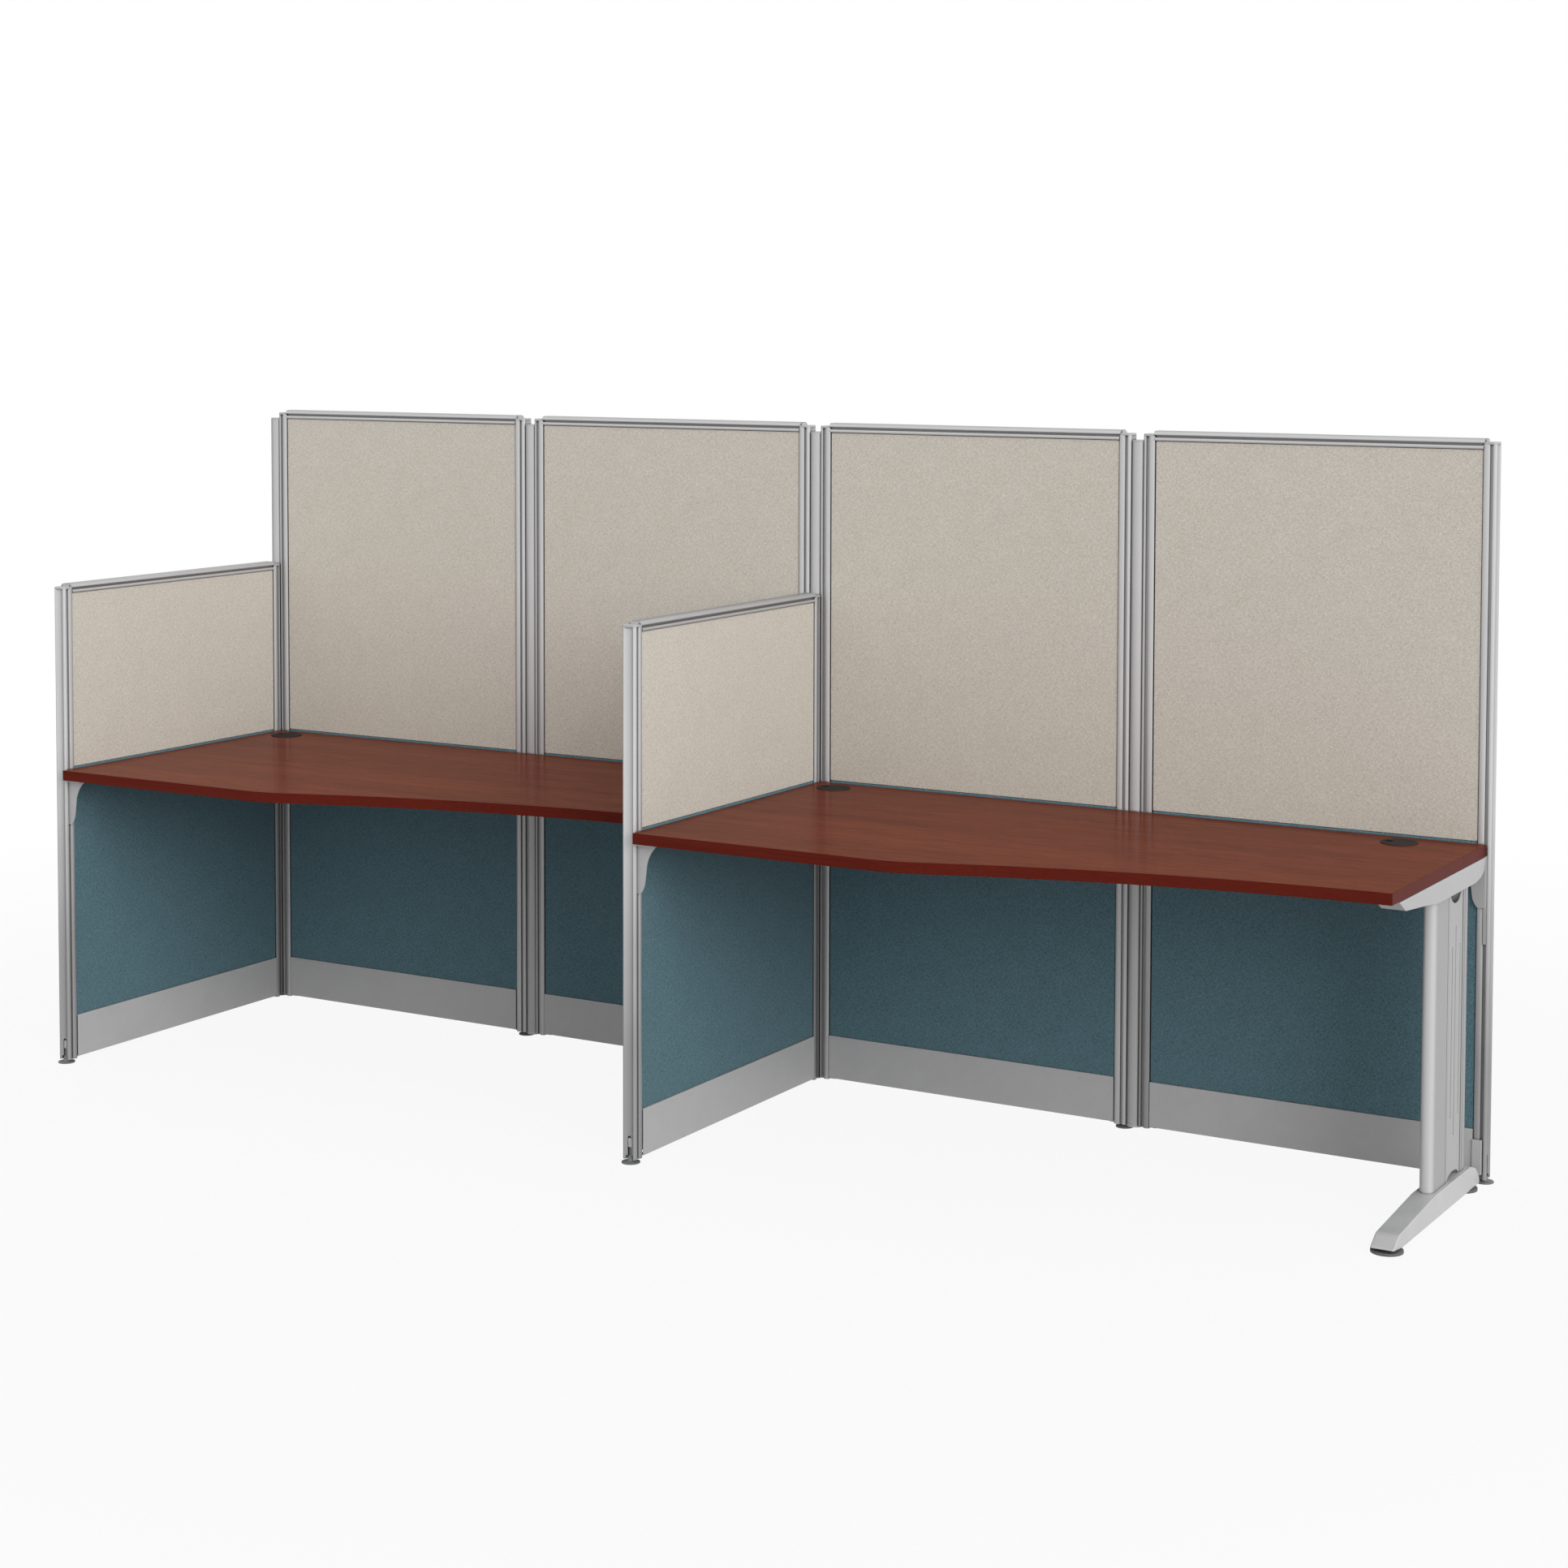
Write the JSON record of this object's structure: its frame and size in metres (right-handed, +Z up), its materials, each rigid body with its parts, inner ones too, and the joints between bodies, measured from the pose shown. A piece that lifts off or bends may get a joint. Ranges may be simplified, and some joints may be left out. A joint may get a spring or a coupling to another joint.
{
  "type": "cubicle_workstation",
  "caption": "Cubicle workstation for two people: framed fabric panels on round posts with curved reddish worktops, brackets and silver legs on levelling glides.",
  "frame": {"origin": "centre of the bounding box on the floor", "axes": "+X along the back row of panels, +Y toward the back, +Z up"},
  "size_m": [3.3616, 0.8586, 1.5941],
  "materials": {
    "anodised_extrusion": "satin silver anodised",
    "beige_fabric": "woven panel cloth",
    "blue_fabric": "woven panel cloth",
    "grey_plastic": "moulded",
    "grey_kick_paint": "satin powder coat",
    "galvanised_steel": "galvanised",
    "zinc_blocks": "zinc cast",
    "silver_tube": "silver powder coat",
    "zinc_fasteners": "zinc plated",
    "reddish_wood": "dark cherry laminate",
    "dark_plastic": "moulded",
    "black_plastic": "moulded",
    "wood_edge_band": "glossy dark cherry edge",
    "grey_bracket_paint": "grey powder coat",
    "silver_cast": "silver powder coat",
    "silver_column": "silver powder coat"
  },
  "bodies": {
    "frame": {"back_1_stiles": "anodised_extrusion", "back_1_top_rail": "anodised_extrusion", "back_1_upper_tiles": "beige_fabric", "back_1_lower_tiles": "blue_fabric", "back_1_kick_plates": "grey_kick_paint", "back_2_stiles": "anodised_extrusion", "back_2_top_rail": "anodised_extrusion", "back_2_upper_tiles": "beige_fabric", "back_2_lower_tiles": "blue_fabric", "back_2_kick_plates": "grey_kick_paint", "back_3_stiles": "anodised_extrusion", "back_3_top_rail": "anodised_extrusion", "back_3_upper_tiles": "beige_fabric", "back_3_lower_tiles": "blue_fabric", "back_3_kick_plates": "grey_kick_paint", "back_4_stiles": "anodised_extrusion", "back_4_top_rail": "anodised_extrusion", "back_4_upper_tiles": "beige_fabric", "back_4_lower_tiles": "blue_fabric", "back_4_kick_plates": "grey_kick_paint", "side_left_stiles": "anodised_extrusion", "side_left_top_rail": "anodised_extrusion", "side_left_upper_tiles": "beige_fabric", "side_left_lower_tiles": "blue_fabric", "side_right_stiles": "anodised_extrusion", "side_right_top_rail": "anodised_extrusion", "side_right_upper_tiles": "beige_fabric", "side_right_lower_tiles": "blue_fabric", "side_kick_plates": "grey_kick_paint", "cross_rails": "galvanised_steel", "stile_caps": "grey_plastic", "foot_inserts": "zinc_blocks", "posts": "silver_tube", "post_ends": "grey_plastic", "frame_bolts": "zinc_fasteners", "worktop_left": "reddish_wood", "worktop_right": "reddish_wood", "edge_bands": "wood_edge_band", "grommet_rings": "dark_plastic", "brackets": "grey_bracket_paint", "leg_beams": "silver_cast", "foot_bars": "silver_cast", "leg_columns": "silver_column", "leg_covers": "silver_column", "link_plates": "grey_bracket_paint", "screws": "zinc_fasteners"},
    "back_1_foot": {"back_1_foot": "grey_plastic"},
    "back_2_foot": {"back_2_foot": "grey_plastic"},
    "back_3_foot": {"back_3_foot": "grey_plastic"},
    "back_4_foot": {"back_4_foot": "grey_plastic"},
    "side_left_foot": {"side_left_foot": "grey_plastic"},
    "side_right_foot": {"side_right_foot": "grey_plastic"},
    "glide_left_rear": {"glide_left_rear": "black_plastic"},
    "glide_left_front": {"glide_left_front": "black_plastic"},
    "glide_right_rear": {"glide_right_rear": "black_plastic"},
    "glide_right_front": {"glide_right_front": "black_plastic"},
    "grommet_cap_left_1": {"grommet_cap_left_1": "dark_plastic"},
    "grommet_cap_left_2": {"grommet_cap_left_2": "dark_plastic"},
    "grommet_cap_right_1": {"grommet_cap_right_1": "dark_plastic"},
    "grommet_cap_right_2": {"grommet_cap_right_2": "dark_plastic"}
  },
  "joints": [
    {"name": "back_1_foot_height", "type": "slide", "parent": "frame", "child": "back_1_foot", "axis": [0, 0, -1], "range_m": [0, 0.015]},
    {"name": "back_2_foot_height", "type": "slide", "parent": "frame", "child": "back_2_foot", "axis": [0, 0, -1], "range_m": [0, 0.015]},
    {"name": "back_3_foot_height", "type": "slide", "parent": "frame", "child": "back_3_foot", "axis": [0, 0, -1], "range_m": [0, 0.015]},
    {"name": "back_4_foot_height", "type": "slide", "parent": "frame", "child": "back_4_foot", "axis": [0, 0, -1], "range_m": [0, 0.015]},
    {"name": "side_left_foot_height", "type": "slide", "parent": "frame", "child": "side_left_foot", "axis": [0, 0, -1], "range_m": [0, 0.015]},
    {"name": "side_right_foot_height", "type": "slide", "parent": "frame", "child": "side_right_foot", "axis": [0, 0, -1], "range_m": [0, 0.015]},
    {"name": "glide_left_rear_height", "type": "slide", "parent": "frame", "child": "glide_left_rear", "axis": [0, 0, -1], "range_m": [0, 0.015]},
    {"name": "glide_left_front_height", "type": "slide", "parent": "frame", "child": "glide_left_front", "axis": [0, 0, -1], "range_m": [0, 0.015]},
    {"name": "glide_right_rear_height", "type": "slide", "parent": "frame", "child": "glide_right_rear", "axis": [0, 0, -1], "range_m": [0, 0.015]},
    {"name": "glide_right_front_height", "type": "slide", "parent": "frame", "child": "glide_right_front", "axis": [0, 0, -1], "range_m": [0, 0.015]},
    {"name": "grommet_cap_left_1_turn", "type": "hinge", "parent": "frame", "child": "grommet_cap_left_1", "pos_m": [-1.56525, 0.32075, 0.73175], "axis": [0, 0, 1], "continuous": true},
    {"name": "grommet_cap_left_2_turn", "type": "hinge", "parent": "frame", "child": "grommet_cap_left_2", "pos_m": [-0.18025, 0.32075, 0.73175], "axis": [0, 0, 1], "continuous": true},
    {"name": "grommet_cap_right_1_turn", "type": "hinge", "parent": "frame", "child": "grommet_cap_right_1", "pos_m": [0.10675, 0.32075, 0.73175], "axis": [0, 0, 1], "continuous": true},
    {"name": "grommet_cap_right_2_turn", "type": "hinge", "parent": "frame", "child": "grommet_cap_right_2", "pos_m": [1.49175, 0.32075, 0.73175], "axis": [0, 0, 1], "continuous": true}
  ]
}
